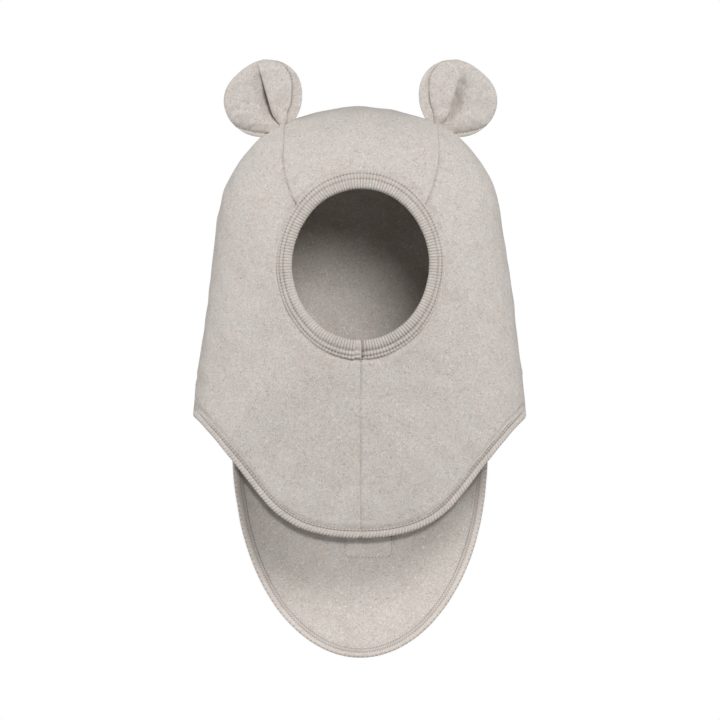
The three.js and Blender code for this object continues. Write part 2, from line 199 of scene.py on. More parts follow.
def outward(points, faces):
    # turned round where the closed mesh's volume, summed over its faces, is negative
    corners = points[faces]
    volume = sum(
        np.einsum("ij,ij->i", corners[:, 0], np.cross(corners[:, k], corners[:, k + 1])).sum()
        for k in range(1, faces.shape[1] - 1)
    )
    return faces if volume > 0 else faces[:, ::-1]


def weld(points, faces):
    # triangles of a closed mesh of quads, with points that coincide joined and flat ones left out
    triangles = np.vstack([faces[:, [0, 1, 2]], faces[:, [0, 2, 3]]])
    _, first, place = np.unique(np.round(points, 4), axis=0, return_index=True, return_inverse=True)
    triangles = place.reshape(-1)[triangles]
    a, b, c = triangles.T
    return first, triangles[(a != b) & (b != c) & (c != a)]


def closedPiece(name, points, material, shade=None):
    # a piece from rings of points; a ring whose points coincide closes an end
    shape, faces = points.shape[:2], ringFaces(*points.shape[:2])
    points = points.reshape(-1, 3)
    first, triangles = weld(points, faces)
    points = points[first]
    if shade is not None:
        shade = np.clip(np.broadcast_to(shade, shape), 0, 1).reshape(-1)[first]
    return makePiece(name, points, outward(points, triangles), material, shade)


def spaced(line, step):
    # a line's points moved to even distances along it
    along = np.concatenate([[0], np.cumsum(np.linalg.norm(np.diff(line, axis=0), axis=1))])
    places = np.linspace(0, along[-1], max(2, round(along[-1] / step) + 1))
    return np.stack([np.interp(places, along, line[:, k]) for k in range(line.shape[1])], -1)


def shell(outer, inner, faces):
    # an outer and an inner skin, joined by a wall round every open edge
    count = len(outer)
    edges = np.vstack([faces[:, [0, 1]], faces[:, [1, 2]], faces[:, [2, 0]]])
    there = edges[:, 0] * count + edges[:, 1]
    again = edges[:, 1] * count + edges[:, 0]
    i, j = edges[~np.isin(there, again)].T
    wall = np.vstack([np.stack([j, i, i + count], 1), np.stack([j, i + count, j + count], 1)])
    return np.vstack([outer, inner]), np.vstack([faces, faces[:, ::-1] + count, wall])


# materials


def linearColour(code):
    # an sRGB hex value as linear light
    value = np.array([int(code[i : i + 2], 16) for i in (1, 3, 5)]) / 255
    return (*np.where(value <= 0.04045, value / 12.92, ((value + 0.055) / 1.055) ** 2.4), 1.0)


def addNode(tree, kind, settings=None, values=None, links=None):
    # one node: its own settings, the values of its sockets, and what feeds them
    node = tree.nodes.new(kind)
    for key, value in (settings or {}).items():
        setattr(node, key, value)
    for key, value in (values or {}).items():
        node.inputs[key].default_value = value
    for key, source in (links or {}).items():
        tree.links.new(source, node.inputs[key])
    return node


def startMaterial(name, roughness, sheen):
    # a rough dielectric; the sheen stands for raised fibres that catch light at a low angle
    material = bpy.data.materials.new(name)
    material.use_nodes = True
    tree = material.node_tree
    shader = tree.nodes["Principled BSDF"]
    shader.inputs["Roughness"].default_value = roughness
    shader.inputs["Specular IOR Level"].default_value = 0.25
    shader.inputs["Sheen Weight"].default_value = sheen
    shader.inputs["Sheen Roughness"].default_value = 0.6
    return material, tree, shader


def noise(tree, place, millimetres, detail=3.0, distortion=0.0):
    # a noise whose blotches are about this many millimetres across
    values = {"Scale": 1000 / millimetres, "Detail": detail, "Distortion": distortion}
    return addNode(tree, "ShaderNodeTexNoise", values=values, links={"Vector": place})


def spread(tree, value, low, high, toLow=0.0, toHigh=1.0):
    # the range from low to high, stretched linearly to another
    values = {"From Min": low, "From Max": high, "To Min": toLow, "To Max": toHigh}
    return addNode(tree, "ShaderNodeMapRange", values=values, links={"Value": value}).outputs["Result"]


def blendColours(tree, factor, a, b):
    # (1 - factor) a + factor b, where a and b are hex values or sockets
    node = addNode(tree, "ShaderNodeMix", {"data_type": "RGBA"})
    for key, source in ((0, factor), (6, a), (7, b)):
        if isinstance(source, str):
            node.inputs[key].default_value = linearColour(source)
        else:
            tree.links.new(source, node.inputs[key])
    return node.outputs[2]


def melange(tree, place, look):
    # wool and cotton fibres of several greys: cool and warm blotches, then short fibres light and dark
    drawn = {"Scale": (0.7, 0.7, 1.5)}  # the blotches lie across the cloth
    brushed = addNode(tree, "ShaderNodeMapping", values=drawn, links={"Vector": place}).outputs[0]
    cloud = spread(tree, noise(tree, brushed, look["blotch"], 4.0, 0.4).outputs["Fac"], 0.36, 0.64)
    patch = spread(tree, noise(tree, place, look["patch"], 3.0, 0.2).outputs["Fac"], 0.34, 0.66)
    colour = blendColours(tree, cloud, look["cool"], look["warm"])
    colour = blendColours(tree, patch, colour, look["light"])
    fibre = noise(tree, place, look["fibre"], 4.0, 2.2).outputs["Fac"]
    dark = spread(tree, fibre, 0.47, 0.28, 0.0, look["darkFibres"])
    colour = blendColours(tree, dark, colour, look["dark"])
    pale = spread(tree, fibre, 0.54, 0.74, 0.0, look["paleFibres"])
    return blendColours(tree, pale, colour, look["pale"]), fibre


fleeceLook = {
    "name": "brushedFleeceMelange",
    "cool": "#c1bcb8", "warm": "#cec4ba", "light": "#cbc5bf", "dark": "#8f8780", "pale": "#e9e4df",
    "blotch": 3.4, "patch": 13.0,  # millimetres: fibres that bunched when the yarn was carded
    "fibre": 1.5,  # real fibres are 0.02 mm wide; drawn as tufts of this size so that they show
    "darkFibres": 0.85, "paleFibres": 0.8,
    "nap": 0.5, "napSize": 1.3,
}


def makeFleece(look, attributeName=None):
    # brushed wool fleece: matt, a soft light rim from the raised nap, melange greys
    material, tree, shader = startMaterial(look["name"], 0.95, 0.18)
    place = addNode(tree, "ShaderNodeTexCoord").outputs["Object"]
    colour, fibre = melange(tree, place, look)
    # where an attribute is named, it holds painted shade that mixes the colour towards look["shade"]
    if attributeName:
        paintedShade = addNode(tree, "ShaderNodeAttribute", {"attribute_name": attributeName}).outputs["Fac"]
        colour = blendColours(tree, paintedShade, colour, look["shade"])
    tree.links.new(colour, shader.inputs["Base Color"])
    nap = noise(tree, place, look["napSize"], 5.0, 1.5).outputs["Fac"]
    depth = {"Strength": look["nap"], "Distance": 0.0006}
    bump = addNode(tree, "ShaderNodeBump", values=depth, links={"Height": nap})
    links = {"Height": fibre, "Normal": bump.outputs["Normal"]}
    fuzz = addNode(tree, "ShaderNodeBump", values={"Strength": 0.25, "Distance": 0.0003}, links=links)
    tree.links.new(fuzz.outputs["Normal"], shader.inputs["Normal"])
    return material


shadedLiningLook = {  # softer knitted lining with a lower nap; its greys are darker than the outer fleece's as painted shade for the dim inside of the hood and the flap
    **fleeceLook, "name": "softFleeceLining",
    "cool": "#b2ada8", "warm": "#bfb5ab", "light": "#bdb7b1", "nap": 0.4,
}
ribLook = {  # rib knit of closer, less hairy yarn; "shade" is the colour of the painted shade in its valleys, stitch rows, outer edge and under its lap
    **fleeceLook, "name": "ribKnitCotton",
    "cool": "#c2bab4", "warm": "#cec4bb", "light": "#cdc6c0", "shade": "#5f5750",
    "napSize": 0.9, "blotch": 3.0, "darkFibres": 0.45,
}
overlockLook = {  # bulky thread wound over the cloth's edge; "shade" is the colour of the painted shade between its turns and in its stitch holes
    **fleeceLook, "name": "overlockedThread",
    "cool": "#cbc3bd", "warm": "#d6cbc3", "light": "#d8d0ca", "shade": "#6a625b",
    "napSize": 0.7, "blotch": 3.0, "darkFibres": 0.4,
}
threadLook = {  # spun sewing thread, a shade darker than the cloth
    **fleeceLook, "name": "spunPolyesterThread",
    "cool": "#a39a92", "warm": "#ada298", "light": "#aea59c",
    "napSize": 0.5, "blotch": 2.0, "darkFibres": 0.3,
}
darkLook = {  # the label's thread: the thread's colours darkened again as painted shade
    **threadLook, "name": "darkSpunThread",
    "cool": "#857b72", "warm": "#8c8278", "light": "#8f857c",
}
fleece = makeFleece(fleeceLook)
shadedLiningFleece = makeFleece(shadedLiningLook)
ribKnit = makeFleece(ribLook, "shade")
overlock = makeFleece(overlockLook, "shade")
spunThread = makeFleece(threadLook)
darkThread = makeFleece(darkLook)
print("materials made")

# where the panels are cut

cuts = {
    "stripFront": [[40, 30], [46.9, 45.5], [52.1, 60.2], [54.2, 74.2], [53.2, 95.2], [53.2, 130]],
    "stripBack": [
        [53.2, 130], [53.2, 95.2], [54, 70], [52, 30], [53, -15], [62, -50], [88, -70], [130, -82],
    ],
    "stripFoot": 20.0,  # below this level the front has no strip
    "stripEnd": -84.0,  # below this level the back is all crown panel
    "bibLength": 188.9,
    "bibPulls": (65.5, -156.4, 67.9),  # x and z of the edge's first pull, x of its second
    "flapHalfWidth": 90.3,
    "flapShoulder": -133.7,
    "flapLength": 276.2,
    "hemWidth": 5.6,
    "hemThickness": 4.4,
    "hemInset": 2.6,  # the cloth stops this far inside the hem's edge
    "faceHalfWidth": 53.0,
    "faceHalfHeight": 59.2,
    "bandWidth": 13.6,
    "bandThickness": 5.0,
    "bandCover": 1.4,  # the cloth's edge goes this far under the face band
    "bandSideSlim": 1.5,  # the band is steeper beside the cheeks, so its outer edge is nearer
}


def smoothLine(pairs, steps=40):
    # Catmull-Rom curve through the points
    p = np.array(pairs, float)
    p = np.vstack([2 * p[0] - p[1], p, 2 * p[-1] - p[-2]])
    a, b, c, d = p[:-3], p[1:-2], p[2:-1], p[3:]
    t = np.linspace(0, 1, steps, endpoint=False)[:, None, None]
    curve = b + 0.5 * t * (c - a + t * (2 * a - 5 * b + 4 * c - d + t * (3 * b - a - 3 * c + d)))
    return np.vstack([curve.transpose(1, 0, 2).reshape(-1, 2), p[-2]])


def bezier(t, *pulls):
    # a curve from the first point to the last, drawn towards those between
    points = [np.array(pull, float) for pull in pulls]
    t = t[:, None]
    while len(points) > 1:
        points = [a + (b - a) * t for a, b in zip(points, points[1:])]
    return points[0]


stripLines = {front: smoothLine(cuts["stripFront"]), back: smoothLine(cuts["stripBack"])[::-1]}
stripSlopes = {side: np.gradient(line[:, 0], line[:, 1]) for side, line in stripLines.items()}
corner = (float(hoodSizes(np.array(hood["archHeight"]))[0]), hood["archHeight"])
pullX, pullZ, bottomX = cuts["bibPulls"]
bibPoints = (corner, (pullX, pullZ), (bottomX, -cuts["bibLength"]), (0, -cuts["bibLength"]))
bibLine = bezier(np.linspace(0, 1, 400), *bibPoints)
shoulder = (cuts["flapHalfWidth"], cuts["flapShoulder"])
flapShort = bezier(np.linspace(0, 1, 120), corner, (shoulder[0], shoulder[1] + 8), shoulder)
quarter = np.linspace(0, pi / 2, 400)[1:, None]
flapReach = cuts["flapLength"] + cuts["flapShoulder"]
flapRound = np.hstack([shoulder[0] * np.cos(quarter), shoulder[1] - flapReach * np.sin(quarter)])
flapLine = np.vstack([flapShort, flapRound])


def stripDistance(x, z, side):
    # from the seam between crown and side panels, positive in the crown panel
    line, slope = stripLines[side], stripSlopes[side]
    half = np.interp(z, line[:, 1], line[:, 0])
    lean = np.interp(z, line[:, 1], slope)
    distance = (half - np.abs(x)) / np.hypot(1, lean)
    outside = -60.0
    return np.where(z < cuts["stripFoot"], outside, distance) if side == front else distance


def faceDistance(x, z, grow):
    # from an ellipse round the face, positive outside it
    a, b = cuts["faceHalfWidth"] + grow - cuts["bandSideSlim"], cuts["faceHalfHeight"] + grow
    reach = np.maximum(np.hypot(x / a, z / b), 1e-3)
    return (reach - 1) * reach / np.maximum(np.hypot(x / a**2, z / b**2), 1e-6)


def bibDistance(x, z):
    # from the bib's edge, positive above it
    height = np.interp(np.abs(x), bibLine[::-1, 0], bibLine[::-1, 1])
    lean = np.interp(np.abs(x), bibLine[::-1, 0], np.gradient(bibLine[::-1, 1], bibLine[::-1, 0]))
    return (z - height) / np.hypot(1, lean)


def flapDistance(x, z):
    # from the flap's edge, positive inside it: straight side above the shoulder, half ellipse below
    half = np.interp(z, flapShort[::-1, 1], flapShort[::-1, 0])
    lean = np.interp(z, flapShort[::-1, 1], np.gradient(flapShort[::-1, 0], flapShort[::-1, 1]))
    above = (half - np.abs(x)) / np.hypot(1, lean)
    down = (z - shoulder[1]) / flapReach
    reach = np.maximum(np.hypot(x / shoulder[0], down), 1e-3)
    below = (1 - reach) * reach / np.maximum(np.hypot(x / shoulder[0] ** 2, down / flapReach), 1e-6)
    wide = np.where(z > shoulder[1], above, below)
    return np.where(z > hood["archHeight"] + 2, 40.0, wide)


faceGrow = cuts["bandWidth"] / 2 - cuts["bandCover"]


def sideRegion(hand):
    # side panel: on one hand, outside the strip and the face, and above the bib's edge
    def inside(angle, z):
        x, y, _ = np.moveaxis(hoodPoint(angle, z), -1, 0)
        ahead = np.minimum(-stripDistance(x, z, front), faceDistance(x, z, faceGrow))
        ahead = np.minimum(ahead, bibDistance(x, z) - cuts["hemInset"])
        outside = -20.0
        behind = np.where(z < cuts["stripEnd"], outside, -stripDistance(x, z, back))
        return np.minimum(hand * x, np.where(y < 1e-9, ahead, behind))
    return inside


def crownRegion():
    # crown panel: the strip, front and back, and the whole flap
    def inside(angle, z):
        x, y, _ = np.moveaxis(hoodPoint(angle, z), -1, 0)
        ahead = np.minimum(stripDistance(x, z, front), faceDistance(x, z, faceGrow))
        behind = np.minimum(stripDistance(x, z, back), flapDistance(x, z) - cuts["hemInset"])
        return np.where(y < -1e-9, ahead, behind)
    return inside


def gridHeights(step):
    # heights evenly spaced along the outline seen from the front, from below the flap to the crown
    upper = hood["crownHeight"] * np.sin(np.linspace(0, pi / 2, 1200)[1:]) ** (2 / hood["sideDome"][0])
    z = np.concatenate([np.linspace(-cuts["flapLength"] - 4, 0, 600), upper])
    along = np.concatenate([[0], np.cumsum(np.hypot(np.diff(hoodSizes(z)[0]), np.diff(z)))])
    return np.interp(np.linspace(0, along[-1], round(along[-1] / step) + 1), along, z)


def cutPanel(inside, step):
    # triangles of a grid in angle and height where inside() is positive; grid points beside its zero
    # line are moved onto it along its slope, so that the panel's edge is smooth
    radius = 85.0  # about the hood's own, so that the grid's cells are near square
    columns = 4 * round(2 * pi * radius / step / 4)
    angle, z = np.meshgrid(np.arange(columns) * 2 * pi / columns, gridHeights(step))
    rows = len(z)
    distance = inside(angle, z)
    marked = np.zeros(distance.shape, bool)
    for up, over in ((0, 1), (1, 0), (1, 1)):
        here, there = distance[: rows - up], np.roll(distance, -over, 1)[up:]
        crossing = here * there < 0
        nearer = np.abs(here) < np.abs(there)
        marked[: rows - up] |= crossing & nearer
        marked[up:] |= np.roll(crossing & ~nearer, over, 1)
    for _ in range(6):
        a, h = angle[marked], z[marked]
        e = 0.04  # millimetres between the points that the slope is taken from
        value = inside(a, h)
        slopeA = (inside(a + e / radius, h) - inside(a - e / radius, h)) / (2 * e)
        slopeH = (inside(a, h + e) - inside(a, h - e)) / (2 * e)
        move = np.clip(value / (slopeA**2 + slopeH**2 + 1e-6), -step, step)
        angle[marked] = a - np.clip(move * slopeA, -step, step) / radius
        z[marked] = h - np.clip(move * slopeH, -step, step)
    z = np.minimum(z, hood["crownHeight"])
    distance[marked] = 0
    index = np.arange(rows * columns).reshape(rows, columns)
    a, b = index[:-1], np.roll(index, -1, 1)[:-1]
    d, c = index[1:], np.roll(index, -1, 1)[1:]
    faces = np.vstack([np.stack([a, b, c], -1).reshape(-1, 3), np.stack([a, c, d], -1).reshape(-1, 3)])
    faces = faces[(distance.ravel()[faces] >= 0).all(1)]
    middle = np.angle(np.exp(1j * angle.ravel()[faces]).mean(1))
    faces = faces[inside(middle, z.ravel()[faces].mean(1)) > 0]
    pole = (rows - 1) * columns
    faces = np.minimum(faces, pole)
    a, b, c = faces.T
    faces = faces[(a != b) & (b != c) & (c != a)]
    used, place = np.unique(faces, return_inverse=True)
    return angle.ravel()[used], z.ravel()[used], place.reshape(-1, 3)


seam = {
    "grooveDepth": 0.85,
    "grooveWidth": 0.95,
    "rollHeight": 0.28,  # cloth swells beside a sewn seam
    "rollPlace": 4.2,
    "rollWidth": 3.0,
    "puckerHeight": 0.16,
    "puckerLength": 7.0,
    "puckerReach": 8.0,
    "middleShare": 0.45,  # the front centre seam is finer than the crown seams
    "earPress": (66, 90),  # heights between which the crown seams are pressed flat towards the ears
    "hemPress": (6.2, 8.4),  # distances from the edge over which the press under a hem ends
    "hemPressDepth": 0.9,
    "liningPressDepth": 0.8,
    "bibHemPlace": 6.9,
    "stitch": (3.2, 2.5, 0.34),  # pitch, length and thread radius
}


def seamRelief(distance, points, seed):
    # a groove at the seam, a low roll beside it, and small puckers that fade away from it
    groove = -seam["grooveDepth"] * bell(distance, seam["grooveWidth"])
    roll = seam["rollHeight"] * bell(np.abs(distance) - seam["rollPlace"], seam["rollWidth"])
    pucker = seam["puckerHeight"] * waves(points, seam["puckerLength"], seed)
    return groove + roll + pucker * bell(distance, seam["puckerReach"])


def hemPress(points):
    # 1 where the cloth is pressed flat under its hem, 0 further in
    x, y, z = points.T
    edge = np.where(y < 0, bibDistance(x, z), flapDistance(x, z))
    return 1 - ease(edge, *seam["hemPress"])


def panelRelief(points, grow):
    # what the seams, the face band and the hems do to the outer cloth
    x, y, z = points.T
    ahead, away = y < 0, 99.0
    inFront = np.where(z < cuts["stripFoot"], away, stripDistance(x, z, front))
    behind = np.where(z < cuts["stripEnd"], away, stripDistance(x, z, back))
    strip = np.where(ahead, inFront, behind)
    pressed = 1 - 0.75 * ease(z, *seam["earPress"]) * ahead
    middle = np.where(ahead & (z < -40), x, away)
    face = np.where(ahead, faceDistance(x, z, grow), away)
    hem = np.where(ahead, bibDistance(x, z) - seam["bibHemPlace"], flapDistance(x, z) - cuts["hemWidth"])
    relief = pressed * seamRelief(strip, points, 21)
    relief += seam["middleShare"] * seamRelief(middle, points, 22)
    relief += -1.0 * bell(face, 1.2) + 0.25 * bell(face - 5, 3)
    return relief - 0.4 * bell(hem, 1.1) - seam["hemPressDepth"] * hemPress(points)


def makePanel(name, region, layer, nodes):
    # one cut panel: both faces follow the hood's surface, moved out by the hang and the seams' relief
    isOuter = layer == "outer"
    thickness = cloth[layer + "Thickness"]
    sink = 0.0 if isOuter else cloth["outerThickness"] + cloth["layerGap"]
    angle, z, faces = cutPanel(region, cloth[layer + "Step"])
    base = hoodPoint(angle, z)
    lift = hang(base)
    relief = panelRelief(base, cuts["bandWidth"] / 2)
    if isOuter:
        outer = hoodPoint(angle, z, lift + relief)
        inner = hoodPoint(angle, z, lift - thickness + np.minimum(relief, 0) * 0.5)
    else:
        outer = hoodPoint(angle, z, lift - sink)
        pressed = seam["liningPressDepth"] * hemPress(base)
        inner = hoodPoint(angle, z, lift - sink - thickness + pressed)
    points, triangles = shell(outer, inner, faces)
    # the lining's material carries painted shade in its darker greys
    material, slotName = (fleece, "fleece") if isOuter else (shadedLiningFleece, "lining")
    piece = makePiece(name, points, triangles, material)
    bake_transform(piece)
    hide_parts(*nodes)


for hand, word in hands:
    for layer in ("outer", "lining"):
        nodes = (f"{layer}_side_{word}", f"bib_{layer}_{word}")
        makePanel(f"{layer}Side_{word}", sideRegion(hand), layer, nodes)
for layer in ("outer", "lining"):
    nodes = (f"{layer}_crown", f"flap_{layer}")
    makePanel(f"{layer}Crown", crownRegion(), layer, nodes)

# face band, its lap and its stitching

band = {
    "width": cuts["bandWidth"],
    "thickness": cuts["bandThickness"],
    "rowPlaces": (3.9, -0.2),  # stitch rows, outward from the band's middle line
    "rowDepth": 0.75,
    "rowWidth": 0.5,
    "ribSpacing": 2.1,
    "ribHeight": 0.5,
    "faintRib": 0.3,
    "puff": 0.8,  # how much the ribbed inner roll stands proud
    "sectionPowers": (0.72, 0.8),
    "ridges": ((0.35, 2.7, 1.3), (0.25, 5.6, 0.9)),  # height, place and width of each
    "raised": 0.25,
    "lapLength": 4.4,
    "lapHeight": 1.1,
    "lapSink": 1.2,  # the start goes this far down under the lap
    "lapRun": (11, 3),  # distances from the end between which the lap rises
    # the next four give painted shade: in the ribs' valleys, along the stitch rows, at the outer edge
    # and beside the lap's end
    "valleyShade": (0.33, 0.18, 60.0),  # painted shade in the ribs' valleys, as where they are pulled open: its strength, its change and its length
    "rowShade": (0.30, 0.45),
    "edgeShade": (0.2, 6.7, 0.5),  # painted shadow along the band's outer edge: strength, place and width
    "lapShade": (0.8, 1.1, 0.45),
    "stitch": (2.1, 1.35, 0.3),
    "alongStep": 0.3,
    "profileSteps": 64,
}


def lineFrames(line):
    # tangent, outward direction and direction across, at each point of a line on the surface
    normal = surfaceNormal(line)
    tangent = unit(np.gradient(line, axis=0))
    across = unit(np.cross(normal, tangent))
    return tangent, unit(np.cross(tangent, across)), across


def ribShape(phase):
    # rounded ribs with narrow valleys: 1 on the rib, 0 in the valley
    return 1 - np.exp(-((np.abs((phase + 0.5) % 1 - 0.5) / 0.17) ** 2)) * 0.9


def profileNormals(profile):
    # outward direction of a closed section: the step between a point's neighbours, turned a quarter
    step = np.roll(profile, -1, 0) - np.roll(profile, 1, 0)
    return unit(np.stack([step[:, 1], -step[:, 0]], -1))


def makeFaceBand():
    # a section carried round the face's ellipse, its end lapped over its start at the chin
    half, deep = band["width"] / 2, band["thickness"] / 2
    startTurn = -band["lapLength"] / cuts["faceHalfWidth"]
    turn = np.linspace(startTurn, 2 * pi + 0.012, 4000)
    flat = cuts["faceHalfWidth"] * np.sin(turn), -cuts["faceHalfHeight"] * np.cos(turn)
    line = clothPoint(*flat, front)
    line = spaced(np.hstack([line, turn[:, None]]), band["alongStep"])
    line, turn = line[:, :3], line[:, 3]
    _, normal, across = lineFrames(line)
    middle = np.array([0, -hood["frontDepth"], 0])
    across *= np.sign(((line - middle) * across).sum(-1, keepdims=True))
    along = np.concatenate([[0], np.cumsum(np.linalg.norm(np.diff(line, axis=0), axis=1))])
    # section: a flat superellipse, its inner half puffed out by the ribs
    angle = np.linspace(0, 2 * pi, band["profileSteps"], endpoint=False)
    c, s = np.cos(angle), np.sin(angle)
    widePower, deepPower = band["sectionPowers"]
    place, height = half * signedPower(c, widePower), deep * signedPower(s, deepPower)
    ahead = np.clip(s * 3, 0, 1)
    puff = band["puff"] * ease(-place, -1.5, 3.0) * np.clip(s + 0.4, 0, 1)
    rows = sum(bell(place - row, band["rowWidth"]) for row in band["rowPlaces"]) * ahead
    ridge = sum(tall * bell(place - at, wide) * ahead for tall, at, wide in band["ridges"])
    height = height + puff + ridge - band["rowDepth"] * rows - shellThickness / 2 + band["raised"]
    faint = band["faintRib"] * ahead * ease(place, -0.3, 0.3)
    ribbed = band["ribHeight"] * ease(-place, -0.2, 1.4) + faint
    out = profileNormals(np.stack([place, height], -1))
    tabStart = along[-1] - band["lapLength"]
    count = round(tabStart / band["ribSpacing"])
    phase = along / along[-1] * count
    lapTab = ease(along, tabStart - 0.4, tabStart + 0.4)
    plain = 1 - lapTab[:, None]
    rib = ribShape(phase)[:, None] * plain
    push = ribbed * (rib - 0.5)
    far, near = band["lapRun"]
    over = band["lapHeight"] * ease(along, along[-1] - far, along[-1] - near)
    lift = over - band["lapSink"] * ease(-along, -far, -near) + hang(line)
    slide = -0.8 * lapTab + 0.7 * ease(-along, -8, -3)
    size = np.minimum(1, np.sqrt(np.clip(np.minimum(along, along[-1] - along) / 0.7, 0, 1)))[:, None]
    size[0] = size[-1] = 0
    centre = np.array([0, height.mean()])
    slim = 1 - 2 * cuts["bandSideSlim"] / band["width"] * (line[:, :1] / cuts["faceHalfWidth"]) ** 2
    x = (place + out[:, 0] * push) * slim * (0.25 + 0.75 * size) + slide[:, None]
    h = centre[1] + (height - centre[1] + out[:, 1] * push) * (0.12 + 0.88 * size) + lift[:, None]
    x[[0, -1]], h[[0, -1]] = slide[[0, -1], None], (centre[1] + lift[[0, -1]])[:, None]
    points = line[:, None] + across[:, None] * x[..., None] + normal[:, None] * h[..., None]
    # painted shade in the ribs' valleys, along the stitch rows and at the outer edge, and painted shadow
    # under the lap's end
    shadeBase, change, length = band["valleyShade"]
    valley = shadeBase + change * waves(line, length, 53)[:, None]
    dark = ribbed / band["ribHeight"] * (1 - rib) * valley * plain
    dots = 0.5 + 0.5 * np.cos(2 * pi * phase)[:, None]
    even, dotted = band["rowShade"]
    strength, at, wide = band["edgeShade"]
    rowShade = rows * (even + dotted * dots) * (1 - 0.6 * lapTab[:, None])
    dark = dark + rowShade + strength * bell(place - at, wide) * (s > -0.2)
    strength, at, wide = band["lapShade"]
    dark = dark + strength * bell(along - band["lapLength"] - at, wide)[:, None]
    piece = closedPiece("faceBand", points, ribKnit, dark)
    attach(piece, "hood")
    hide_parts("face_band")
    print(f"face band: {count} ribs")
    free = slice(12, -22)  # the rows stop short of the lap's two ends
    for word, row in zip(("Outer", "Inner"), band["rowPlaces"]):
        level = np.interp(row, place[s > 0][::-1], height[s > 0][::-1]) + 0.2
        rowLine = line + across * row * slim + normal * (level + lift[:, None])
        stitches = sewRow(f"faceStitch{word}", rowLine[free], normal[free], band["stitch"], spunThread)
        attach(stitches, "hood")
        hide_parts(f"face_stitch_{word.lower()}")


def sewRow(name, line, normal, stitch, material, dip=0.35):
    # stitches along a line: each a short six-sided thread whose ends go down into the cloth
    pitch, length, radius = stitch
    joined = spaced(np.hstack([line, normal]), pitch)
    middle, up = joined[:, :3], unit(joined[:, 3:])
    tangent = unit(np.gradient(middle, axis=0))
    side = unit(np.cross(up, tangent))
    t = np.linspace(-1, 1, 7)
    turn = np.linspace(0, 2 * pi, 6, endpoint=False)
    thick = radius * np.sqrt(np.clip(1 - np.abs(t) ** 3, 0, 1))
    forward = t * length / 2
    rise = thick[:, None] * np.sin(turn) - dip * t[:, None] ** 2
    across = thick[:, None] * np.cos(turn)
    points = (
        middle[:, None, None]
        + tangent[:, None, None] * forward[:, None, None]
        + up[:, None, None] * rise[..., None]
        + side[:, None, None] * across[..., None]
    )
    each = ringFaces(len(t), len(turn))
    one = points[0].reshape(-1, 3)
    each = outward(one, each)
    faces = (each[None] + (np.arange(len(middle)) * len(one))[:, None, None]).reshape(-1, 4)
    points = points.reshape(-1, 3)
    first, triangles = weld(points, faces)
    return makePiece(name, points[first], triangles, material)


makeFaceBand()

# seam threads of the outer cloth


def seamThread(name, line, nodes, moving=None):
    # small stitches at the bottom of a seam's groove
    line = spaced(line, 1.0)
    normal = surfaceNormal(line)
    line = line + normal * (hang(line) - seam["grooveDepth"] - 0.05)[:, None]
    piece = sewRow(name, line, normal, seam["stitch"], spunThread, 0.25)
    if moving:
        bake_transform(piece)
    else:
        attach(piece, "hood")
    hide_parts(*nodes)


def crownSeamLine(hand):
    # along the strip's edge from the face band over the ridge and down the back
    z = np.linspace(30, hood["crownHeight"], 3000)
    half = np.interp(z, stripLines[front][:, 1], stripLines[front][:, 0])
    free = (faceDistance(half, z, cuts["bandWidth"] / 2) > 0.4) & (half < hoodSizes(z)[0] - 0.001)
    ahead = clothPoint(half[free], z[free], front)
    z = np.linspace(hood["crownHeight"], -82, 3000)
    half = np.interp(z, stripLines[back][:, 1], stripLines[back][:, 0])
    free = half < hoodSizes(z)[0] - 0.001
    behind = clothPoint(half[free], z[free], back)
    return np.vstack([ahead, behind]) * [hand, 1, 1]


for hand, word in hands:
    seamThread(f"crownSeam_{word}", crownSeamLine(hand), (f"crown_seam_{word}",))
chinTop = -cuts["faceHalfHeight"] - cuts["bandWidth"] / 2 - 0.6
centreHeights = np.linspace(chinTop, -cuts["bibLength"] + cuts["hemWidth"] + 0.6, 200)
centreLine = clothPoint(0 * centreHeights, centreHeights, front)
seamThread("frontSeam", centreLine, ("chin_seam", "bib_seam"), "front_bib")

# overlocked hems

hem = {
    "thickness": cuts["hemThickness"],
    "bibWidth": 6.7,
    "flapWidth": 7.0,
    "barSpacing": 2.3,
    "barHeight": 0.3,
    "barSlant": 0.16,  # turns of a bar's spacing for each millimetre across
    "ladderSpacing": 2.0,
    "ladderRows": (3.9, 6.3),
    "edgeSpacing": 3.3,
    "sectionPowers": (0.75, 0.72),
    "bibRows": (5.1, 6.5),
    "bibDotSpacing": 2.5,
    "notch": (0.9, 1.2),  # depth and width of the dip where the centre seam meets the bib's hem
    "alongStep": 0.36,
    "profileSteps": 48,
}


def hemFrames(tangent, normal, side):
    # directions up into the cloth and out of it, their signs set at the line's middle
    middle = len(tangent) // 2
    across = unit(np.cross(normal, tangent))
    across *= np.sign(across[middle, 2])
    normal = unit(np.cross(tangent, across))
    normal *= np.sign(normal[middle, 1]) * side
    return across, normal


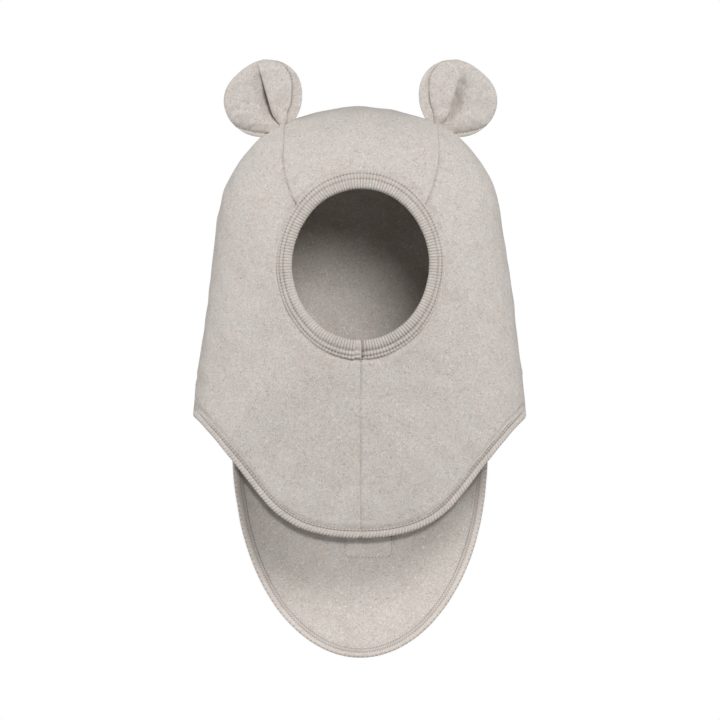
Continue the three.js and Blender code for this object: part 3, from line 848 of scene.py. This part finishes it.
def makeHem(name, flat, side, wide, node):
    # a rounded section carried along the cloth's edge, wrapped in slanting thread bars
    whole = np.vstack([flat, (flat * [-1, 1])[::-1][1:]])
    line = clothPoint(whole[:, 0], whole[:, 1], side)
    line[0, 1] = line[-1, 1] = side * 0.3
    line = spaced(line, hem["alongStep"])
    tangent = unit(np.gradient(line, axis=0))
    _, normal = hemFrames(tangent, surfaceNormal(line * [0.9995, 1, 1]), side)
    along = np.arange(len(line)) * hem["alongStep"]
    # near the corners the hem turns to face forward or back, as its bulk does not let it lie edge-on
    turned = 0.75 * (1 - ease(np.minimum(along, along[-1] - along), 4, 30))[:, None]
    normal = unit(normal * (1 - turned) + np.array([0, side, 0]) * turned)
    across, normal = hemFrames(tangent, normal, side)
    angle = np.linspace(0, 2 * pi, hem["profileSteps"], endpoint=False)
    c, s = np.cos(angle), np.sin(angle)
    widePower, deepPower = hem["sectionPowers"]
    place = wide / 2 * (1 - signedPower(c, widePower))
    height = hem["thickness"] / 2 * signedPower(s, deepPower) * (1 - 0.10 * (place / wide) ** 2)
    out = profileNormals(np.stack([-place, height], -1))
    isFlap = side == back
    seen = np.clip(-s * 3, 0, 1) if isFlap else np.clip(s * 3, 0, 1)  # the face seen from the front
    slanted = along[:, None] / hem["barSpacing"] + hem["barSlant"] * np.where(s > 0, place, -place)
    uneven = 0.25 * waves(line, 6.0, 31)[:, None]
    bars = ribShape(slanted + uneven * 0.3)
    # painted shade between the thread bars, more at the hem's edge
    tone = (0.34 + 0.5 * bell(place, 1.5)) * (1 - bars)
    push = hem["barHeight"] * (bars - 0.6)
    if isFlap:
        phase = (along[:, None] / hem["ladderSpacing"]) % 1
        rung = ribShape(phase + 0.5)
        low, high = hem["ladderRows"]
        between = ease(place, low - 0.5, low + 0.3) * (1 - ease(place, high - 0.3, high + 0.5))
        hole = bell(place - low, 0.55) + bell(place - high, 0.55)
        hole = hole * bell((phase + 0.5) % 1 - 0.5, 0.24)
        edge = bell(place, 0.9) * bell((along[:, None] / hem["edgeSpacing"]) % 1 - 0.5, 0.16)
        # painted shade in the stitch holes, between the ladder's rungs and at the edge dots, over a
        # little painted shade on the whole seen face
        flatShade = 0.16 + 0.95 * hole + 0.5 * between * (1 - rung) + 0.6 * edge
        flatPush = 0.14 * between * (rung - 0.5) - 0.28 * hole - 0.2 * edge
        tone = tone * (1 - seen) + flatShade * seen
        push = push * (1 - seen) + flatPush * seen
    else:
        near, far = hem["bibRows"]
        # painted shade in the two rows of stitch holes, dotted along them
        rowHoles = sum(bell(place - row, 0.42) for row in hem["bibRows"]) * seen
        dots = bell((along[:, None] / hem["bibDotSpacing"] + 0.5) % 1 - 0.5, 0.27)
        nearTone = bell(place - near, 0.5) * (0.6 + 0.4 * dots)
        rowShade = (nearTone + bell(place - far, 0.5) * (0.4 + 0.6 * dots)) * seen
        tone = np.maximum(tone * (1 - 0.5 * rowHoles), rowShade)
        push = push * (1 - 0.7 * ease(place, 4.4, 5.2) * seen) - 0.32 * rowHoles
    deep, narrow = hem["notch"]
    notch = 0.0 if isFlap else deep * bell(line[:, 0], narrow)[:, None]
    # the section shrinks over the last 2 mm, and each end is closed at one point
    end = np.minimum(1, np.sqrt(np.clip(np.minimum(along, along[-1] - along) / 2.0, 0, 1)))[:, None]
    lift = hang(line)[:, None]
    x = (place - out[:, 0] * push) + notch * bell(place, 2.0)
    h = height + out[:, 1] * push
    x = wide / 2 + (x - wide / 2) * (0.3 + 0.7 * end)
    h = h * end + lift - shellThickness / 2
    points = line[:, None] + across[:, None] * x[..., None] + normal[:, None] * h[..., None]
    points[0], points[-1] = points[0].mean(0), points[-1].mean(0)
    piece = closedPiece(name, points, overlock, tone)
    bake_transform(piece)
    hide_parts(node)
    print(f"{name}: {len(piece.data.polygons)} triangles")


makeHem("frontHem", bibLine, front, hem["bibWidth"], "front_hem")
makeHem("backHem", flapLine, back, hem["flapWidth"], "back_hem")

# blank label on the flap's inner face

label = {
    "left": -12.0,
    "right": 22.9,
    "top": -162.0,
    "bottom": -206.2,
    "corner": 5.0,
    "proud": 0.85,
    "inset": 1.1,  # of the stitches, from the edge
    "stitch": (2.4, 1.8, 0.3),
    "rings": 26,  # on its flat face; the lists give the rings over its edge and under it
    "edgeShare": [0.975, 1.0, 1.0, 0.9, 0.0],
    "edgeHeight": [0.9, 0.6, 0.16, 0.0, 0.0],
}


def roundedOutline(inset):
    # a rectangle with round corners: each corner's quarter circle, joined by its sides
    r = max(label["corner"] - inset, 0.5)
    turn = np.linspace(0, pi / 2, 12)
    right, top = label["right"] - inset - r, label["top"] - inset - r
    left, bottom = label["left"] + inset + r, label["bottom"] + inset + r
    corners = ((right, top, 0), (left, top, pi / 2), (left, bottom, pi), (right, bottom, 3 * pi / 2))
    parts = [np.stack([x + r * np.cos(turn + a), z + r * np.sin(turn + a)], -1) for x, z, a in corners]
    line = np.vstack([*parts, parts[0][:1]])
    return spaced(line, 0.7)[:-1]


def makeLabel():
    # rings from the middle to the outline, on both faces, raised a little in the middle
    outline = roundedOutline(0)
    middle = outline.mean(0)
    rings = label["rings"]
    share = np.concatenate([np.linspace(0, 0.94, rings), label["edgeShare"]])
    out = label["proud"] * np.concatenate([np.ones(rings), label["edgeHeight"]])
    flat = middle + (outline - middle) * share[:, None, None]
    base = clothPoint(flat[..., 0], flat[..., 1], back)
    onFace = np.arange(len(share)) < rings
    stitched = 0.3 * bell((1 - share[:, None]) * 18 - label["inset"], 0.9) * onFace[:, None]
    depth = hang(base) - shellThickness - 0.15 - out[:, None] + stitched
    points = clothPoint(flat[..., 0], flat[..., 1], back, depth)
    piece = closedPiece("backLabel", points, shadedLiningFleece)
    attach(piece, "back_flap")
    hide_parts("back_label")
    line = roundedOutline(label["inset"])
    line = np.vstack([line, line[:1]])
    base = clothPoint(line[:, 0], line[:, 1], back)
    depth = hang(base) - shellThickness - 0.15 - label["proud"] + 0.1
    line = clothPoint(line[:, 0], line[:, 1], back, depth)
    row = sewRow("labelStitch", line, -surfaceNormal(line), label["stitch"], darkThread)
    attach(row, "back_flap")
    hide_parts("label_stitch")


makeLabel()

# ears: round padded discs, pleated on the side towards the middle of the head

ear = {
    "middle": (68.6, -8.0, 117.2),
    "radius": 27.3,
    "halfThickness": 5.6,
    "fullness": (2.0, 40, 35),  # extra radius, its direction in degrees, and how wide
    "flatness": (-3.3, 130, 38),
    "cup": 5.4,  # how far the outer lobe dips into the pleat
    "proud": 1.6,  # how far that lobe's edge stands above the rest
    "roll": 2.3,  # radius of the inner lobe's rounded edge
    "axis": (57.0, -8.0, 97.0),
    "tilt": 29.0,
    "sink": 1.2,  # the base goes this far in the hood's cloth
    "pleat": (3.8, 0.28, 0.03, 8),  # place, lean, bend to the base, and how far down it starts
    "innerInset": 7.4,  # the back panel shows this much beside the front one
    "lowerInset": 3.2,
    "hollowWidths": (9.0, 4.0),
    "crease": 3.4,
    "underside": 3.3,
    "stitch": (2.2, 1.7, 0.3),
}


def earReach(turn, inset=False):
    # outline: a circle, fuller towards the crown's middle and flatter on its upper outer side
    degrees = np.degrees(turn)

    def away(at):  # degrees from a direction, -180 to 180
        return (degrees - at + 180) % 360 - 180

    extra, at, wide = ear["fullness"]
    flat, flatAt, flatWide = ear["flatness"]
    reach = ear["radius"] + extra * bell(away(at), wide) + flat * bell(away(flatAt), flatWide)
    if inset:  # the front panel is smaller, so the back panel shows beside it
        at = away(0)
        inner = ear["innerInset"] * ease(at, -62, -25) * (1 - ease(at, 5, 80))
        lower = ear["lowerInset"] * ease(at, -145, -105) * (1 - ease(at, -90, -70))
        reach = reach + 0.15 - inner - lower
    return reach


def seamShown(turn):
    # 1 where the back panel shows well beyond the front one, 0 where the front panel wraps round
    return ease(earReach(turn) - earReach(turn, True), 0.4, 2.6)


def sideOfOutline(level, reach, hand):
    # where the outline's left (hand -1) or right (hand 1) side is, at each level
    turn = np.linspace(-pi / 2, pi / 2, 400) if hand > 0 else np.linspace(3 * pi / 2, pi / 2, 400)
    r = reach(turn)
    p, q = r * np.cos(turn), r * np.sin(turn)
    order = np.argsort(q)
    return np.interp(level, q[order], p[order])


def pleatPlace(q):
    # the pleat runs from the top, leaning inward as it goes down, and bends to the base at the end
    place, lean, bend, below = ear["pleat"]
    return place - lean * q + bend * np.minimum(q + below, 0) ** 2


def earDome(p, q, reach):
    # (1 - rho^3)^(1/2), rho being the share of the outline's radius
    rho = np.hypot(p, q) / reach(np.arctan2(q, p))
    return np.sqrt(np.clip(1 - np.clip(rho, 0, 1) ** 3.0, 0, 1))


def earPanel(isFront):
    # closed pad in its own plane: p towards the middle of the head, q up, h towards the face
    reach = (lambda turn: earReach(turn, True)) if isFront else earReach
    turn = np.linspace(0, 2 * pi, 720)
    tall = reach(turn) * np.sin(turn)
    share = (1 - np.cos(np.linspace(0, pi, 150))) / 2
    q = (tall.min() + (tall.max() - tall.min()) * share)[:, None]
    left, right = sideOfOutline(q, reach, -1), sideOfOutline(q, reach, 1)
    thick = ear["halfThickness"]
    if not isFront:
        a = np.linspace(0, 2 * pi, 160, endpoint=False)
        p = (left + right) / 2 + (right - left) / 2 * np.cos(a)
        dome = earDome(p, q, reach)
        behind = -0.2 - (thick - 0.4) * dome
        fromSeam = np.hypot(p, q) - earReach(np.arctan2(q, p), True)
        shown = seamShown(np.arctan2(q, p))
        rim = -0.2 + (2.9 * shown - 0.7) * dome**0.6 - 0.5 * shown * bell(fromSeam, 0.7)
        ahead = rim + (behind + 1.2 - rim) * ease(dome, 0.74, 0.92)
        h = np.where(np.sin(a) > 0, ahead, behind)
        return np.stack(np.broadcast_arrays(p, q, h), -1)
    # the front panel: the outer lobe dips into the pleat, a rolled edge, the inner lobe, the underside
    room = np.sqrt(np.clip(1 - (2 * share[:, None] - 1) ** 2, 0, 1))
    roll = ear["roll"] * np.clip(room * 1.3, 0.02, 1)
    fold = np.clip(pleatPlace(q), left + 2.2 * roll, right - 2.2 * roll)
    t = np.linspace(0, 1, 60)
    outerP = left + (fold + 0.35 * roll - left) * (1 - np.cos(pi * t * 0.5)) ** 0.8
    gap = fold - outerP
    hollow = room * bell(q + 3, 17)
    wide, narrow = ear["hollowWidths"]
    dip = hollow * (ear["cup"] * bell(gap, wide) + ear["crease"] * bell(gap, narrow))
    outerH = thick * earDome(outerP, q, reach) - dip
    bend = np.linspace(-pi / 2, -3 * pi / 2, 18)
    topH = (thick + ear["proud"] * room) * earDome(fold + roll, q, reach)
    bottomH = outerH[:, -1:]
    half = np.maximum((topH - bottomH) / 2, 0.05)
    rollP = fold + roll + roll * np.cos(bend) * 1.15
    rollH = (topH + bottomH) / 2 + half * np.sin(bend)
    t = np.linspace(0, 1, 44)[1:]
    innerP = fold + roll + (right - fold - roll) * np.sin(pi / 2 * t)
    proud = ear["proud"] * room * bell((innerP - fold - roll) / 9, 1)
    innerH = (thick + proud) * earDome(innerP, q, reach)
    t = np.linspace(0, 1, 50)[1:-1]
    underP = right + (left - right) * t
    underH = -0.3 * np.sin(pi * t) - ear["underside"] * earDome(underP, q, reach) ** 2
    p = np.concatenate([outerP, rollP, innerP, underP], 1)
    h = np.concatenate([outerH, rollH, innerH, underH], 1)
    return np.stack(np.broadcast_arrays(p, q, h), -1)


def surfaceHeight(x, y):
    # height of the hood's outer face at each x and y, found by halving
    low, high = np.zeros_like(x), np.full_like(x, hood["crownHeight"])
    for _ in range(24):
        half = (low + high) / 2
        inside = sectionLevel(np.stack([x, y, half], -1)) < 1
        low, high = np.where(inside, half, low), np.where(inside, high, half)
    return low


def placeEar(local, hand):
    # from the ear's own plane to its place; the base is trimmed where it meets the hood
    x0, y0, z0 = ear["middle"]
    p, q, h = np.moveaxis(local, -1, 0)
    uneven = 0.45 * waves(local, 16.0, 41 + hand) + 0.2 * waves(local, 6.5, 43 + hand)
    h = h + uneven * np.clip(np.abs(h) / 3, 0, 1) * np.sign(h)
    points = np.stack([hand * (x0 - p), y0 - h, z0 + q], -1)
    ground = surfaceHeight(points[..., 0], points[..., 1]) - ear["sink"]
    points[..., 2] = np.maximum(points[..., 2], ground)
    return points


def makeEars():
    # each ear: two padded panels and the stitches between them, blended into the hood at the base
    for hand, word in hands:
        for part, isFront in (("Front", True), ("Back", False)):
            points = placeEar(earPanel(isFront), hand)
            piece = closedPiece(f"ear{part}_{word}", points, fleece)
            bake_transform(piece)
            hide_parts(f"ear_{word}_{part.lower()}")
        turn = np.linspace(0, 2 * pi, 700)
        shown = seamShown(turn)
        reach = earReach(turn, True) - 0.7 + 0.8 * shown
        local = np.stack([reach * np.cos(turn), reach * np.sin(turn), 1.45 * shown], -1)
        line = placeEar(local, hand)
        above = line[:, 2] > surfaceHeight(line[:, 0], line[:, 1]) + 0.2
        start = np.argmax(~above)
        line, above = np.roll(line[:-1], -start, 0), np.roll(above[:-1], -start)
        line = line[above]
        away = unit(line - np.array(ear["middle"]) * [hand, 1, 1])
        row = sewRow(f"earSeam_{word}", line, away, ear["stitch"], spunThread, 0.2)
        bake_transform(row)
        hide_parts(f"ear_{word}_seam")
        print(f"{word} ear made")


makeEars()

# camera, light and floor

stage = {
    "cameraDistance": 4.0,
    "cameraHeight": -0.0658,
    "cameraAcross": -0.00035,
    "frameWidth": 0.504,
    "floorHeight": -0.56,
    "floorRadius": 0.42,
    "ambient": 0.08,
    # place, target, width in metres and watts of each round light
    "lights": {
        "key": ((0.42, -1.95, 0.87), (0, 0, -0.05), 0.9, 38.5),
        "behind": ((-0.5, 2.2, 0.25), (0, 0, -0.08), 1.2, 20.0),
        "rightSide": ((1.7, -0.35, 0.35), (0, 0, -0.05), 1.3, 12.0),
        "leftSide": ((-1.7, -0.35, 0.35), (0, 0, -0.05), 1.3, 20.0),
    },
    # two narrow spots that reach only the flap's inner side; target and watts of each
    "flapPlace": (0.04, -3.0, 0.03),
    "flapWidth": 0.08,
    "flapCone": 2.5,
    "flapLights": {
        "rightFlap": ((0.046, 0.04, -0.203), 300.0),
        "leftFlap": ((-0.046, 0.04, -0.203), 395.0),
    },
}


def addLight(name, kind, place, target, power):
    # a white light at a place, turned towards its target
    light = bpy.data.lights.new(name, kind)
    light.energy = power
    lamp = addObject(name, light)
    lamp.location = place
    lamp.rotation_euler = (Vector(target) - lamp.location).to_track_quat("-Z", "Y").to_euler()
    return lamp


def makeStage():
    # a floor disc, a room that is white to the camera, the lights and the camera
    turn = np.linspace(0, 2 * pi, 96, endpoint=False)
    rim = np.stack([np.cos(turn), np.sin(turn), 0 * turn], -1) * stage["floorRadius"] * 1000
    points = np.vstack([[0, 0, 0], rim]) + [0, 0, stage["floorHeight"] * 1000]
    around = np.arange(96)
    faces = np.stack([np.zeros(96, int), 1 + around, 1 + (around + 1) % 96], -1)
    material, tree, shader = startMaterial("paleFloor", 0.9, 0.0)
    place = addNode(tree, "ShaderNodeTexCoord").outputs["Object"]
    pale = blendColours(tree, noise(tree, place, 60.0).outputs["Fac"], "#f4f3f1", "#efeeec")
    tree.links.new(pale, shader.inputs["Base Color"])
    mesh = bpy.data.meshes.new("floor")
    mesh.from_pydata((points * 0.001).tolist(), [], faces.tolist())
    mesh.materials.append(material)
    floor = addObject("floor", mesh)

    world = bpy.data.worlds.new("paleRoom")
    bpy.context.scene.world = world
    world.use_nodes = True
    tree = world.node_tree
    path = addNode(tree, "ShaderNodeLightPath")
    warmWhite, white = (1, 0.985, 0.965, 1), (1, 1, 1, 1)
    given = {"Color": warmWhite, "Strength": stage["ambient"]}
    dim = addNode(tree, "ShaderNodeBackground", values=given)
    bright = addNode(tree, "ShaderNodeBackground", values={"Color": white, "Strength": 1.0})
    links = {0: path.outputs["Is Camera Ray"], 1: dim.outputs[0], 2: bright.outputs[0]}
    mix = addNode(tree, "ShaderNodeMixShader", links=links)
    tree.links.new(mix.outputs[0], tree.nodes["World Output"].inputs["Surface"])

    for name, (place, target, width, power) in stage["lights"].items():
        lamp = addLight(name, "AREA", place, target, power)
        lamp.data.shape, lamp.data.size = "DISK", width
    flapCloth = bpy.data.collections.new("flapCloth")
    for name in ("liningCrown", "backHem", "backLabel", "labelStitch"):
        flapCloth.objects.link(bpy.data.objects[name])
    for name, (target, power) in stage["flapLights"].items():
        lamp = addLight(name, "SPOT", stage["flapPlace"], target, power)
        lamp.data.shadow_soft_size = stage["flapWidth"]
        lamp.data.spot_size, lamp.data.spot_blend = radians(stage["flapCone"]), 1.0
        lamp.light_linking.receiver_collection = flapCloth

    camera = bpy.data.cameras.new("camera")
    camera.sensor_width = 36.0
    camera.lens = 36.0 * stage["cameraDistance"] / stage["frameWidth"]
    camera.clip_end = 50.0
    stand = addObject("camera", camera)
    stand.location = (stage["cameraAcross"], -stage["cameraDistance"], stage["cameraHeight"])
    stand.rotation_euler = (radians(90), 0, 0)
    bpy.context.scene.camera = stand
    bpy.context.scene.view_settings.view_transform = "Standard"
    bpy.context.scene.view_settings.look = "None"


makeStage()
print("camera, light and floor made")
